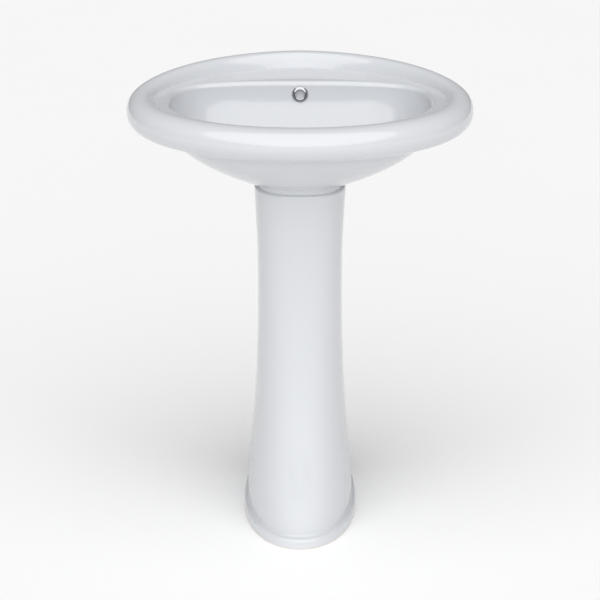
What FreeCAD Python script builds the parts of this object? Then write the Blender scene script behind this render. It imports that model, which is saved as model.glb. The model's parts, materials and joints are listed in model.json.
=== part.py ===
import FreeCAD, Part
import math
import os

# Pedestal sink: an oval china basin with a rolled rim on a china column that is open at the back,
# with its click plug waste, overflow ring and P-trap.
# Millimetres. +Z is up, -Y is the front, the wall stands at y = +240 and the floor at z = 0.

Vector = FreeCAD.Vector

# Basin, seen from above
basin_half_width = 300.0
basin_front = 240.0
basin_back = 250.0            # the oval's own reach; the wall plane trims it to wall_y
wall_y = 240.0
rim_front_power = 2.06
rim_back_power = 1.70

# Rolled rim and flat deck
roll_radius = 28.0
rim_crest = 814.0
back_rise = 19.5              # the roll stands this much higher at the back
rise_start = -110.0
deck_height = 807.0
deck_thickness = 20.0
channel_inset = 44.0          # from the outline to the flat underside of the deck

# Bowl
bowl_centre_y = -20.0
bowl_half_width = 225.0
bowl_front = 158.0
bowl_back = 125.0
bowl_front_power = 2.1
bowl_back_power = 3.2
bowl_depth = 133.0
bowl_power = 2.0
bowl_root = 2.29
bowl_edge_radius = 8.0

# Outside of the bowl
shell_half_width = 234.0
shell_front = 170.0
shell_back = 137.0
shell_top = 784.0
shell_depth = 149.0
shell_root = 2.1
seat_height = 655.0           # the basin rests on the column here
skirt_height = 75.0

# Drain hole, boss and overflow passage
drain_hole_radius = 22.5
boss_radius = 37.0
boss_bottom = 636.0
recess_radius = 33.0
recess_depth = 5.0
overflow_height = 784.0
overflow_hole_radius = 11.0
overflow_mouth_length = 24.0
overflow_mouth_start = 8.0    # in front of the bowl's wall
passage_wall = 10.0
passage_gap = 12.0
passage_width = 26.0
duct_width = 46.0
duct_wall = 10.0
ring_outer_radius = 14.4
ring_inner_radius = 8.6
ring_thickness = 2.6
ring_seat = 1.1               # the flange's back stands this far in front of the wall's middle
sleeve_radius = 10.8
sleeve_length = 13.0

# Back apron with the wall fixing holes
apron_half_width = 104.0
apron_bottom = 700.0
apron_top = 790.0
apron_thickness = 18.0
apron_corner = 18.0
rib_thickness = 12.0
rib_front = 95.0
rib_low_corner = (110.0, 712.0)
rib_front_bottom = 740.0
rib_top = 798.0
fixing_spacing = 160.0
fixing_height = 750.0
fixing_hole_radius = 7.0

# Column: height, half width, front, centre line, corner power
column_sections = [
    (0.0, 98.5, 137.0, 50.0, 2.1),
    (30.0, 98.5, 136.0, 50.0, 2.1),
    (65.0, 97.8, 131.0, 49.0, 2.1),
    (110.0, 95.2, 120.0, 46.0, 2.1),
    (160.0, 89.9, 107.0, 41.0, 2.15),
    (220.0, 84.2, 95.0, 34.0, 2.2),
    (300.0, 79.8, 85.0, 25.0, 2.25),
    (380.0, 76.9, 79.0, 17.0, 2.3),
    (460.0, 75.8, 77.0, 11.0, 2.4),
    (540.0, 76.2, 78.0, 7.0, 2.5),
    (605.0, 78.8, 82.0, 5.0, 2.6),
    (655.0, 81.0, 86.0, 5.0, 2.6),
]
column_wall = 11.0
column_back_reach = 260.0     # how far back the full oval would run
column_back_top = 76.0        # where the open back stops, at the top and at the foot
column_back_foot = 140.0
top_edge_radius = 4.0

# Plinth round the column's foot
plinth_half_width = 105.6
plinth_front = 150.3
plinth_centre_y = 40.0
plinth_height = 19.0
plinth_power = 2.12
plinth_edge_radius = 5.0
foot_flange_width = 58.0
foot_flange_depth = 64.0
foot_flange_thickness = 16.0
foot_hole_radius = 5.0
foot_hole_spacing = 130.0
foot_hole_y = 85.0

# Click plug waste, on a vertical axis through the bowl's lowest point
drain_y = bowl_centre_y
floor_z = deck_height - bowl_depth
flange_radius = 32.0
flange_thickness = 3.0
waste_outer_radius = 20.9
waste_inner_radius = 17.0
waste_bottom = 588.0
seal_thickness = 2.0
gasket_height = 12.0
washer_height = 2.0
locknut_height = 11.0
locknut_flat = 54.0
slot_height = 12.0
slot_width = 16.0
plug_travel = 8.0
cap_radius = 29.0
cap_height = 5.5
stem_radius = 4.0
stem_clearance = 0.06
cartridge_radius = 8.0
cartridge_top = 668.0
cartridge_bottom = 630.0
neck_length = 12.0
pocket_radius = 6.2

# Drain pipes, 32 mm outside
pipe_radius = 16.0
pipe_wall = 1.2
bend_radius = 38.0
bend_centre_height = 468.0
socket_radius = 18.5
socket_top = 490.0
socket_length = 20.0
insert_depth = 16.0
arm_leg_top = 500.0
slip_nut_height = 20.0
slip_nut_flat = 46.0
coupling_nut_flat = 50.0
thread_clearance = 0.05
cleanout_boss_radius = 11.0
cleanout_radius = 7.9
cleanout_flat = 15.0
escutcheon_radius = 36.0
escutcheon_thickness = 10.0
escutcheon_clearance = 0.35

points_round = 48
basin_band_rings = 2          # rings of points in each band of the basin's surface


def superellipse_radius(angle, half_width, reach, power):
    # distance from the centre to the outline at a polar angle
    across = abs(math.cos(angle)) / half_width
    along = abs(math.sin(angle)) / reach
    return (across ** power + along ** power) ** (-1.0 / power)


def oval_point(angle, half_width, front, back, centre_y, front_power, back_power):
    # one point of an outline whose front and back halves differ
    if math.sin(angle) < 0.0:
        radius = superellipse_radius(angle, half_width, front, front_power)
    else:
        radius = superellipse_radius(angle, half_width, back, back_power)
    return radius * math.cos(angle), centre_y + radius * math.sin(angle)


def round_angles():
    # starts and ends at the middle of the back
    step = 2.0 * math.pi / points_round
    return [math.pi / 2.0 + step * index for index in range(points_round + 1)]


def smooth_step(value):
    value = min(max(value, 0.0), 1.0)
    return value * value * (3.0 - 2.0 * value)


def rim_rise(y):
    # extra height of the roll towards the wall
    return back_rise * smooth_step((y - rise_start) / (basin_back - roll_radius - rise_start))


def rim_point(angle, inset, height, rise_share):
    # a point at a given inset from the outer outline
    x, y = oval_point(angle, basin_half_width - inset, basin_front - inset,
                      basin_back - inset, 0.0, rim_front_power, rim_back_power)
    return Vector(x, y, height + rise_share * rim_rise(y))


def bowl_point(angle, scale, height, grow=0.0):
    x, y = oval_point(angle, scale * bowl_half_width + grow, scale * bowl_front + grow,
                      scale * bowl_back + grow, bowl_centre_y, bowl_front_power, bowl_back_power)
    return Vector(x, y, height)


def shell_point(angle, scale, height):
    x, y = oval_point(angle, scale * shell_half_width, scale * shell_front,
                      scale * shell_back, bowl_centre_y, bowl_front_power, bowl_back_power)
    return Vector(x, y, height)


def bowl_height(scale):
    # height of the bowl's inner surface where the outline has shrunk to this scale
    return deck_height - bowl_depth * (1.0 - scale ** bowl_power) ** (1.0 / bowl_root)


def shell_height(scale):
    return shell_top - shell_depth * (1.0 - scale) ** (1.0 / shell_root)


def bowl_grid():
    # up the bowl and over its rounded edge to the deck
    angles = round_angles()
    rings = []
    for scale in (0.1, 0.25, 0.42, 0.58, 0.71, 0.81, 0.885, 0.94, 0.975, 0.992):
        rings.append([bowl_point(a, scale, bowl_height(scale)) for a in angles])
    edge = bowl_edge_radius
    for turn in (8, 35, 62, 90):
        lift = math.radians(turn)
        grow = edge * (1.0 - math.cos(lift))
        height = deck_height - edge * (1.0 - math.sin(lift))
        rings.append([bowl_point(a, 1.0, height, grow) for a in angles])
    return rings


def roll_grid():
    # from the deck over the roll, round the lip's tip and up the hollow inside the roll
    angles = round_angles()
    centre_height = rim_crest - roll_radius
    rings = []
    foot_turn = 180.0 - math.degrees(math.asin((deck_height - centre_height) / roll_radius))
    for turn, share in ((foot_turn, 0.0), (124, 0.45), (108, 0.9), (88, 1.0), (66, 1.0), (44, 0.9),
                        (22, 0.65), (0, 0.4), (-22, 0.15), (-44, 0.0), (-66, 0.0)):
        lift = math.radians(turn)
        inset = roll_radius * (1.0 - math.cos(lift))
        height = centre_height + roll_radius * math.sin(lift)
        rings.append([rim_point(a, inset, height, share) for a in angles])
    low = rim_crest - 2.0 * roll_radius
    for inset, height in ((21.0, low + 1.2), (25.2, low + 2.6), (28.2, low + 6.0),
                          (29.4, low + 10.5)):
        rings.append([rim_point(a, inset, height, 0.0) for a in angles])
    return rings


def channel_ring():
    # where the channel under the rim meets the flat underside of the deck
    level = deck_height - deck_thickness
    return [[rim_point(a, channel_inset, level, 0.0) for a in round_angles()]]


def shell_grid():
    # the outside of the bowl, from under the deck to below the seat
    angles = round_angles()
    rings = [[shell_point(a, 1.03, deck_height - deck_thickness) for a in angles]]
    rings.append([shell_point(a, 1.01, shell_top - 0.5) for a in angles])
    for scale in (0.998, 0.985, 0.96, 0.92, 0.86, 0.78, 0.69, 0.6, 0.5, 0.4, 0.28, 0.14):
        rings.append([shell_point(a, scale, shell_height(scale)) for a in angles])
    return rings


def parted_faces(grid, rings_each):
    # a smooth surface through the grid, parted at its own rings into shorter bands
    surface = Part.BSplineSurface()
    surface.interpolate(grid)
    along = surface.getUKnots()
    around = surface.getVKnots()
    last_ring = len(grid) - 1
    inner = range(rings_each, last_ring - rings_each // 2, rings_each)
    stops = [0] + list(inner) + [last_ring]
    faces = []
    for first, last in zip(stops, stops[1:]):
        band = surface.copy()
        band.segment(along[first], along[last], around[0], around[-1])
        faces.append(band.toShape())
    return faces


def level_edge(face, ring):
    # the closed edge of a band that runs along a level ring of points
    for edge in face.Edges:
        level = all(abs(point.z - ring[0].z) < 0.05 for point in edge.discretize(12))
        if level and edge.isClosed():
            return edge
    raise ValueError("no level edge")


def closed_solid(grids, rings_each=100):
    # smooth surfaces joined by straight bands, and closed by flat faces at both ends
    faces = []
    previous = None
    for grid in grids:
        if len(grid) == 1:
            curve = Part.BSplineCurve()
            curve.interpolate(grid[0])
            edge = curve.toShape()
            faces.append(Part.makeRuledSurface(previous, edge))
            previous = edge
            continue
        skins = parted_faces(grid, rings_each)
        start = level_edge(skins[0], grid[0])
        if previous is None:
            faces.append(Part.Face(Part.Wire([start])))
        else:
            faces.append(Part.makeRuledSurface(previous, start))
        faces.extend(skins)
        previous = level_edge(skins[-1], grid[-1])
    faces.append(Part.Face(Part.Wire([previous])))
    shell = Part.makeShell(faces)
    shell.sewShape()
    solid = Part.makeSolid(shell)
    if solid.Volume < 0:
        solid.reverse()
    return solid


def ring_solid(inner, outer, low, high, centre_y=drain_y):
    # a plain ring on a vertical axis
    base = Vector(0, centre_y, low)
    outside = Part.makeCylinder(outer, high - low, base)
    return outside.cut(Part.makeCylinder(inner, high - low, base))


def turned(profile, centre_y=drain_y):
    # a closed outline of (radius, height) points turned about a vertical axis
    points = [Vector(radius, 0, height) for radius, height in profile]
    face = Part.Face(Part.makePolygon(points + points[:1]))
    solid = face.revolve(Vector(0, 0, 0), Vector(0, 0, 1), 360)
    solid.translate(Vector(0, centre_y, 0))
    return solid


def hexagon(flat, low, high, centre_y=drain_y, chamfer=1.5):
    # a hexagonal prism whose corners are turned down at both ends
    corner = flat / math.sqrt(3.0)
    points = []
    for index in range(7):
        angle = math.radians(60.0 * index)
        points.append(Vector(corner * math.cos(angle), centre_y + corner * math.sin(angle), low))
    prism = Part.Face(Part.makePolygon(points)).extrude(Vector(0, 0, high - low))
    half = flat / 2.0
    envelope = turned([(0, low), (half, low), (corner, low + chamfer), (corner, high - chamfer),
                       (half, high), (0, high)], centre_y)
    return prism.common(envelope)


def slab(low, high):
    return Part.makeBox(high[0] - low[0], high[1] - low[1], high[2] - low[2], Vector(*low))


def outline_face(half_width, front, centre_y, power, height):
    # a flat D-shaped outline, front oval and a long back
    ring = []
    for angle in round_angles()[:-1]:
        x, y = oval_point(angle, half_width, front + centre_y, column_back_reach, centre_y,
                          power, power)
        ring.append(Vector(x, y, height))
    curve = Part.BSplineCurve()
    curve.interpolate(Points=ring, PeriodicFlag=True)
    return Part.Face(Part.Wire([curve.toShape()]))


def wall_offset_point(scale, offset):
    # a point at a given distance outside the bowl's inner surface, in the middle of the back
    left = 1.0 - scale ** bowl_power
    rise = bowl_depth * bowl_power / bowl_root
    rise *= left ** (1.0 / bowl_root - 1.0) * scale ** (bowl_power - 1.0)
    length = math.hypot(rise, bowl_back)
    y = bowl_centre_y + scale * bowl_back + offset * rise / length
    z = bowl_height(scale) - offset * bowl_back / length
    return y, z


def wall_strip(near, far, width, first, last):
    # a strip that follows the bowl's back wall between two distances from its inner surface
    count = 16
    shares = [math.sin(math.pi / 2.0 * index / count) for index in range(count + 1)]
    scales = [first + (last - first) * share for share in shares]
    sides = []
    for offset in (near, far):
        line = []
        for scale in scales:
            y, z = wall_offset_point(scale, offset)
            line.append(Vector(-width / 2.0, y, z))
        sides.append(line)
    edges = []
    for line in sides:
        curve = Part.BSplineCurve()
        curve.interpolate(line)
        edges.append(curve.toShape())
    edges.append(Part.makeLine(sides[0][0], sides[1][0]))
    edges.append(Part.makeLine(sides[0][-1], sides[1][-1]))
    face = Part.Face(Part.Wire(Part.__sortEdges__(edges)))
    return face.extrude(Vector(width, 0, 0))


def bowl_core(grow):
    # the space inside the bowl, grown into its wall
    rings = []
    for scale in (0.1, 0.25, 0.42, 0.58, 0.71, 0.81, 0.885, 0.94, 0.975, 0.992):
        rings.append([bowl_point(a, scale, bowl_height(scale) - grow, grow) for a in round_angles()])
    rings.append([bowl_point(a, 1.0, deck_height + 2.0, grow) for a in round_angles()])
    return closed_solid([rings])


def column_ring(section, inset, height):
    section_height, half_width, front, centre_y, power = section
    ring = []
    for angle in round_angles():
        x, y = oval_point(angle, half_width - inset, front + centre_y - inset,
                          column_back_reach, centre_y, power, power)
        ring.append(Vector(x, y, height))
    return ring


def column_body(inset, low, high):
    # the column as if it were closed at the back
    rings = [column_ring(column_sections[0], inset, low)]
    for section in column_sections[1:-1]:
        rings.append(column_ring(section, inset, section[0]))
    rings.append(column_ring(column_sections[-1], inset, high))
    return closed_solid([rings])


def behind_column(top_y, foot_y, low, high):
    # everything behind the column's open back
    slope = (foot_y - top_y) / seat_height
    reach = 420.0
    points = [Vector(-200, top_y - slope * (high - seat_height), high),
              Vector(-200, foot_y - slope * low, low), Vector(-200, reach, low),
              Vector(-200, reach, high)]
    face = Part.Face(Part.makePolygon(points + points[:1]))
    return face.extrude(Vector(400, 0, 0))


def make_basin():
    body = closed_solid([bowl_grid(), roll_grid(), channel_ring(), shell_grid()],
                        basin_band_rings)
    trims = slab((-320, -260, seat_height - 20), (320, 260, seat_height))
    body = body.cut(trims)
    # skirt that stands on the column's top edge
    top = column_sections[-1]
    skirt_low = seat_height
    skirt_high = seat_height + skirt_height
    behind = behind_column(column_back_top - 2.0, column_back_foot, skirt_low - 1, skirt_high + 1)
    lift = Vector(0, 0, skirt_high - skirt_low)
    blocks = []
    for inset in (top_edge_radius + 1.0, column_wall + 1.5):
        face = outline_face(top[1] - inset, top[2] - inset, top[3], top[4], skirt_low)
        blocks.append(face.extrude(lift).cut(behind))
    skirt = blocks[0].cut(blocks[1])
    # boss round the drain and duct behind the bowl
    boss_top = floor_z - 4.0
    boss = Part.makeCylinder(boss_radius, boss_top - boss_bottom, Vector(0, drain_y, boss_bottom))
    outer = passage_wall + passage_gap + duct_wall
    duct = wall_strip(4.0, outer, duct_width, 0.25, 0.9985)
    # apron at the wall and two ribs that tie it to the bowl
    low_y = wall_y - apron_thickness
    apron = slab((-apron_half_width, low_y, apron_bottom), (apron_half_width, wall_y, apron_top))
    ribs = []
    for side in (-1, 1):
        outer_x = side * apron_half_width
        inner_x = side * (apron_half_width - rib_thickness)
        points = [Vector(inner_x, rib_front, rib_top), Vector(inner_x, rib_front, rib_front_bottom),
                  Vector(inner_x, *rib_low_corner), Vector(inner_x, low_y + 2, apron_bottom),
                  Vector(inner_x, low_y + 2, rib_top)]
        face = Part.Face(Part.makePolygon(points + points[:1]))
        ribs.append(face.extrude(Vector(outer_x - inner_x, 0, 0)))
    upright = [edge for edge in apron.Edges
               if abs(edge.Vertexes[0].Z - edge.Vertexes[-1].Z) < 1e-6
               and abs(edge.Vertexes[0].X - edge.Vertexes[-1].X) < 1e-6
               and edge.Vertexes[0].Z < apron_bottom + 1.0]
    apron = apron.makeFillet(apron_corner, upright)
    added = skirt.fuse(ribs + [duct]).cut(bowl_core(5.0))
    body = body.fuse([added, boss, apron])
    # trims: the wall plane, the drain hole, the flange recess and the overflow passage
    body = body.cut(slab((-320, wall_y, 600), (320, 300, 900)))
    hole = Part.makeCylinder(drain_hole_radius, 60.0, Vector(0, drain_y, boss_bottom - 5))
    recess = Part.makeCylinder(recess_radius, 30.0, Vector(0, drain_y, floor_z - recess_depth))
    near = passage_wall
    far = passage_wall + passage_gap
    passage = wall_strip(near, far, passage_width, 0.15, 0.9965)
    lean = overflow_lean()
    into_wall = Vector(0, math.cos(lean), -math.sin(lean))
    start = Vector(0, ring_wall_y(overflow_height), overflow_height)
    start = start - into_wall * overflow_mouth_start
    mouth = Part.makeCylinder(overflow_hole_radius, overflow_mouth_length, start, into_wall)
    body = body.cut([hole, recess, passage, mouth])
    for side in (-1, 1):
        centre = Vector(side * fixing_spacing / 2.0, low_y - 5, fixing_height)
        body = body.cut(Part.makeCylinder(fixing_hole_radius, 30.0, centre, Vector(0, 1, 0)))
    return body


def make_pedestal():
    column = column_body(0.0, 0.0, seat_height)
    # plinth with a rounded top edge
    base = outline_face(plinth_half_width, plinth_front, plinth_centre_y, plinth_power, 0.0)
    foot = base.extrude(Vector(0, 0, plinth_height))
    top_edges = [edge for edge in foot.Edges if edge.BoundBox.ZMin > plinth_height - 0.5]
    foot = foot.makeFillet(plinth_edge_radius, top_edges)
    hollow = column_body(column_wall, -2.0, seat_height + 2.0)
    behind = behind_column(column_back_top, column_back_foot, -5, seat_height + 5)
    body = column.cut(behind).fuse(foot.cut(behind)).cut(hollow)
    inside = plinth_half_width - foot_flange_width
    flanges = []
    for side in (-1, 1):
        low_x = min(side * inside, side * plinth_half_width)
        flange = slab((low_x, foot_hole_y - foot_flange_depth / 2.0, 0),
                      (low_x + foot_flange_width, foot_hole_y + foot_flange_depth / 2.0,
                       foot_flange_thickness))
        flanges.append(flange.common(column_body(column_wall - 1.0, 0.0, seat_height + 2.0)))
    body = body.fuse(flanges)
    for side in (-1, 1):
        centre = Vector(side * foot_hole_spacing / 2.0, foot_hole_y, -1)
        body = body.cut(Part.makeCylinder(foot_hole_radius, foot_flange_thickness + 3, centre))
    return body


def make_overflow_ring():
    # a domed flange on a short sleeve, leaning with the bowl's wall
    flange = ring_thickness
    profile = [(ring_inner_radius, -flange + 0.6), (ring_inner_radius + 1.0, -flange),
               (ring_outer_radius - 2.2, -flange + 0.3), (ring_outer_radius - 0.5, -0.9),
               (ring_outer_radius, 0.0), (sleeve_radius, 0.0), (sleeve_radius, sleeve_length),
               (ring_inner_radius, sleeve_length)]
    ring = turned([(radius, -depth) for radius, depth in profile], 0.0)
    ring.rotate(Vector(0, 0, 0), Vector(1, 0, 0), 90.0 - math.degrees(overflow_lean()))
    ring.translate(Vector(0, ring_wall_y(overflow_height) - ring_seat, overflow_height))
    return ring


def overflow_lean():
    # how far the bowl's back wall leans from upright at the overflow
    low = ring_wall_y(overflow_height - ring_outer_radius)
    high = ring_wall_y(overflow_height + ring_outer_radius)
    return math.atan2(high - low, 2.0 * ring_outer_radius)


def ring_wall_y(height):
    # depth of the bowl's back wall at a given height
    drop = (deck_height - height) / bowl_depth
    return bowl_centre_y + bowl_back * (1.0 - drop ** bowl_root) ** (1.0 / bowl_power)


def make_waste_body():
    top = floor_z
    seat = top - flange_thickness
    cone = 5.0
    tube = turned([(waste_inner_radius, waste_bottom), (waste_outer_radius, waste_bottom),
                   (waste_outer_radius, seat), (flange_radius, seat), (flange_radius, seat + 1.4),
                   (flange_radius - 2.0, top), (waste_inner_radius + 4.0, top),
                   (waste_inner_radius, top - cone)])
    hub_low = 634.0
    hub_high = 648.0
    hub = ring_solid(cartridge_radius + thread_clearance, cartridge_radius + 2.2, hub_low, hub_high)
    web = 3.0
    arms = []
    for index in range(3):
        arm = slab((cartridge_radius + 1.2, -web / 2, hub_low + 2),
                   (waste_inner_radius + 0.5, web / 2, hub_high - 4))
        arm.rotate(Vector(0, 0, 0), Vector(0, 0, 1), 30.0 + 120.0 * index)
        arm.translate(Vector(0, drain_y, 0))
        arms.append(arm)
    slots = []
    for side in (-1, 1):
        low_y = drain_y + min(side * (waste_inner_radius - 3), side * (waste_outer_radius + 3))
        middle = floor_z - passage_wall - passage_gap / 2.0
        slots.append(slab((-slot_width / 2, low_y, middle - slot_height / 2),
                          (slot_width / 2, low_y + 10, middle + slot_height / 2)))
    return tube.fuse([hub] + arms).cut(slots)


def make_flange_seal():
    top = floor_z - flange_thickness
    return ring_solid(waste_outer_radius + 0.3, flange_radius - 1.5, top - seal_thickness, top)


def make_waste_gasket():
    inner = waste_outer_radius + 0.2
    low = boss_bottom - gasket_height
    return turned([(inner, low), (26.5, low), (31.0, low + 6.0), (31.0, boss_bottom),
                   (inner, boss_bottom)])


def make_waste_washer():
    high = boss_bottom - gasket_height
    return ring_solid(waste_outer_radius + 0.2, 30.0, high - washer_height, high)


def make_waste_locknut():
    high = boss_bottom - gasket_height - washer_height
    nut = hexagon(locknut_flat, high - locknut_height, high)
    bore = waste_outer_radius + thread_clearance
    return nut.cut(Part.makeCylinder(bore, 40.0, Vector(0, drain_y, high - 30)))


def make_plug_cartridge():
    neck = cartridge_top - neck_length
    bore = stem_radius + stem_clearance
    return turned([(0, cartridge_bottom), (cartridge_radius, cartridge_bottom),
                   (cartridge_radius, 648.0), (cartridge_radius + 2.6, 648.0),
                   (cartridge_radius + 2.6, 650.5), (cartridge_radius, 650.5),
                   (cartridge_radius, cartridge_top - 1.0), (cartridge_radius - 1.0, cartridge_top),
                   (bore, cartridge_top), (bore, neck), (pocket_radius, neck),
                   (pocket_radius, cartridge_bottom + 2.0), (0, cartridge_bottom + 2.0)])


def make_plug_spring():
    wire = 0.6
    low = cartridge_bottom + 2.0 + wire + 0.1
    high = cartridge_top - neck_length - 4.0 - wire - 0.1
    turns = 6.0
    middle = 4.8
    helix = Part.makeHelix((high - low) / turns, high - low, middle)
    start = Vector(middle, 0, 0)
    ring = Part.Wire([Part.makeCircle(wire, start, Vector(0, 1, 0))])
    spring = Part.Wire(helix).makePipeShell([ring], True, True)
    spring.translate(Vector(0, drain_y, low))
    return spring


def cap_rest_height():
    # underside of the plug's cap when the plug is open
    return floor_z + 1.0 + plug_travel


def make_plug_cap():
    low = cap_rest_height()
    crown = 90.0
    count = 6
    outline = [(0, low), (cap_radius - 0.6, low), (cap_radius, low + 0.8)]
    for index in range(count + 1):
        radius = (cap_radius - 1.0) * (1.0 - index / count)
        sag = crown - math.sqrt(crown * crown - radius * radius)
        outline.append((radius, low + cap_height - sag * 0.55))
    return turned(outline)


def make_plug_seal():
    high = cap_rest_height()
    low = high - 3.6
    return turned([(stem_radius, low), (18.0, low), (20.9, high), (stem_radius, high)])


def make_plug_stem():
    neck = cartridge_top - neck_length
    collar_top = neck - 0.4
    collar_low = neck - 4.0
    return turned([(0, collar_low), (pocket_radius - 0.3, collar_low),
                   (pocket_radius - 0.3, collar_top), (stem_radius, collar_top),
                   (stem_radius, cap_rest_height()), (0, cap_rest_height())])


def make_tailpiece():
    washer = 2.0
    flange = 2.4
    high = waste_bottom - washer
    low = socket_top - insert_depth
    inner = pipe_radius - pipe_wall
    return turned([(inner, low), (pipe_radius, low), (pipe_radius, high - flange),
                   (waste_outer_radius - 1.0, high - flange), (waste_outer_radius - 1.0, high),
                   (inner, high)])


def make_tailpiece_washer():
    return ring_solid(pipe_radius - pipe_wall, waste_outer_radius - 0.6, waste_bottom - 2.0,
                      waste_bottom)


def make_tailpiece_nut():
    shoulder = waste_bottom - 4.4
    low = shoulder - 5.0
    high = waste_bottom + 14.0
    nut = hexagon(coupling_nut_flat, low, high)
    thread = Part.makeCylinder(waste_outer_radius + thread_clearance, 60.0,
                               Vector(0, drain_y, shoulder))
    bore = Part.makeCylinder(pipe_radius + 0.3, 60.0, Vector(0, drain_y, low - 10))
    return nut.cut([thread, bore])


def upright_rod(radius, y, low, high):
    return Part.makeCylinder(radius, high - low, Vector(0, y, low))


def turned_rod(radius, start_y, height, angle):
    # a rod bent upwards or downwards about an axis along X, starting upright
    disc = Part.Face(Part.Wire([Part.makeCircle(radius, Vector(0, start_y, height))]))
    return disc.revolve(Vector(0, start_y + bend_radius, height), Vector(1, 0, 0), angle)


def bend_rods(radius, socket_low):
    # the two legs and the half circle of the trap's bend
    outlet_y = drain_y + 2.0 * bend_radius
    return [upright_rod(radius, drain_y, bend_centre_height, socket_low + 4.0),
            upright_rod(radius, outlet_y, bend_centre_height, socket_low + 4.0),
            turned_rod(radius, drain_y, bend_centre_height, 180.0)]


def make_trap_bend():
    outlet_y = drain_y + 2.0 * bend_radius
    middle = drain_y + bend_radius
    socket_low = socket_top - socket_length
    crown = bend_centre_height - bend_radius - pipe_radius
    outer = bend_rods(pipe_radius, socket_low)
    outer.append(Part.makeCylinder(cleanout_boss_radius, 16.0, Vector(0, middle, crown - 5.0)))
    inner = bend_rods(pipe_radius - pipe_wall, socket_low)
    inner.append(Part.makeCylinder(cleanout_radius + thread_clearance, 20.0,
                                   Vector(0, middle, crown - 8.0)))
    for y in (drain_y, outlet_y):
        outer.append(turned([(0, socket_low + 0.5), (pipe_radius + 0.5, socket_low + 0.5),
                             (socket_radius, socket_low + 3.0), (socket_radius, socket_top),
                             (0, socket_top)], y))
        inner.append(upright_rod(pipe_radius + 0.2, y, socket_low + 3.0, socket_top + 5.0))
    return outer[0].fuse(outer[1:]).cut(inner[0].fuse(inner[1:]))


def make_cleanout_plug():
    middle = drain_y + bend_radius
    crown = bend_centre_height - bend_radius - pipe_radius
    head = hexagon(cleanout_flat, crown - 12.5, crown - 7.5, middle, 0.8)
    collar = Part.makeCylinder(cleanout_boss_radius - 0.5, 1.5, Vector(0, middle, crown - 7.5))
    shank = Part.makeCylinder(cleanout_radius, 9.0, Vector(0, middle, crown - 6.5))
    return head.fuse([collar, shank])


def make_cleanout_washer():
    middle = drain_y + bend_radius
    crown = bend_centre_height - bend_radius - pipe_radius
    return ring_solid(cleanout_radius + 0.1, cleanout_boss_radius - 0.3, crown - 6.0, crown - 5.0,
                      middle)


def make_slip_nut(centre_y):
    shoulder = socket_top + 3.0
    high = shoulder + 3.5
    nut = hexagon(slip_nut_flat, high - slip_nut_height, high, centre_y)
    thread = Part.makeCylinder(socket_radius + thread_clearance, slip_nut_height + 5.0,
                               Vector(0, centre_y, shoulder - slip_nut_height - 5.0))
    bore = Part.makeCylinder(pipe_radius + 0.3, 30.0, Vector(0, centre_y, shoulder - 5.0))
    return nut.cut([thread, bore])


def make_slip_washer(centre_y):
    return ring_solid(pipe_radius + 0.05, socket_radius - 0.1, socket_top, socket_top + 3.0,
                      centre_y)


def make_trap_arm():
    outlet_y = drain_y + 2.0 * bend_radius
    low = socket_top - insert_depth
    turn_y = outlet_y + bend_radius
    level = arm_leg_top + bend_radius
    solids = []
    for radius in (pipe_radius, pipe_radius - pipe_wall):
        leg = upright_rod(radius, outlet_y, low, arm_leg_top)
        corner = turned_rod(radius, outlet_y, arm_leg_top, -90.0)
        run = Part.makeCylinder(radius, wall_y - turn_y, Vector(0, turn_y, level), Vector(0, 1, 0))
        solids.append(leg.fuse([corner, run]).removeSplitter())
    return solids[0].cut(solids[1])


def make_wall_escutcheon():
    # a thin domed flange round the arm, flat against the wall
    bore = pipe_radius + escutcheon_clearance
    depth = escutcheon_thickness
    shell = turned([(bore, 0.0), (bore + 1.6, 0.0), (bore + 2.6, 4.0), (27.0, 7.0),
                    (escutcheon_radius - 0.6, depth - 1.2), (escutcheon_radius, depth),
                    (escutcheon_radius - 2.0, depth), (26.0, depth - 1.4), (bore, 6.0)], 0.0)
    shell.rotate(Vector(0, 0, 0), Vector(1, 0, 0), -90.0)
    shell.translate(Vector(0, wall_y - depth, arm_leg_top + bend_radius))
    return shell


outlet_y = drain_y + 2.0 * bend_radius
nodes = {
    "basin": make_basin,
    "pedestal": make_pedestal,
    "overflow_ring": make_overflow_ring,
    "waste_body": make_waste_body,
    "flange_seal": make_flange_seal,
    "waste_gasket": make_waste_gasket,
    "waste_washer": make_waste_washer,
    "waste_locknut": make_waste_locknut,
    "plug_cartridge": make_plug_cartridge,
    "plug_spring": make_plug_spring,
    "plug_cap": make_plug_cap,
    "plug_seal": make_plug_seal,
    "plug_stem": make_plug_stem,
    "tailpiece": make_tailpiece,
    "tailpiece_washer": make_tailpiece_washer,
    "tailpiece_nut": make_tailpiece_nut,
    "trap_bend": make_trap_bend,
    "cleanout_plug": make_cleanout_plug,
    "cleanout_washer": make_cleanout_washer,
    "trap_inlet_nut": lambda: make_slip_nut(drain_y),
    "trap_inlet_washer": lambda: make_slip_washer(drain_y),
    "trap_outlet_nut": lambda: make_slip_nut(outlet_y),
    "trap_outlet_washer": lambda: make_slip_washer(outlet_y),
    "trap_arm": make_trap_arm,
    "wall_escutcheon": make_wall_escutcheon,
}

os.makedirs("parts", exist_ok=True)
for name, build in nodes.items():
    shape = build()
    box = shape.BoundBox
    print(f"{name}: solids {len(shape.Solids)}, valid {shape.isValid()}, "
          f"{shape.Volume / 1000.0:.1f} cm3, z {box.ZMin:.1f} to {box.ZMax:.1f}, "
          f"y {box.YMin:.1f} to {box.YMax:.1f}, x to {box.XMax:.1f}")
    shape.exportStep(f"parts/{name}.step")
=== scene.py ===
import json
import math

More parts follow.
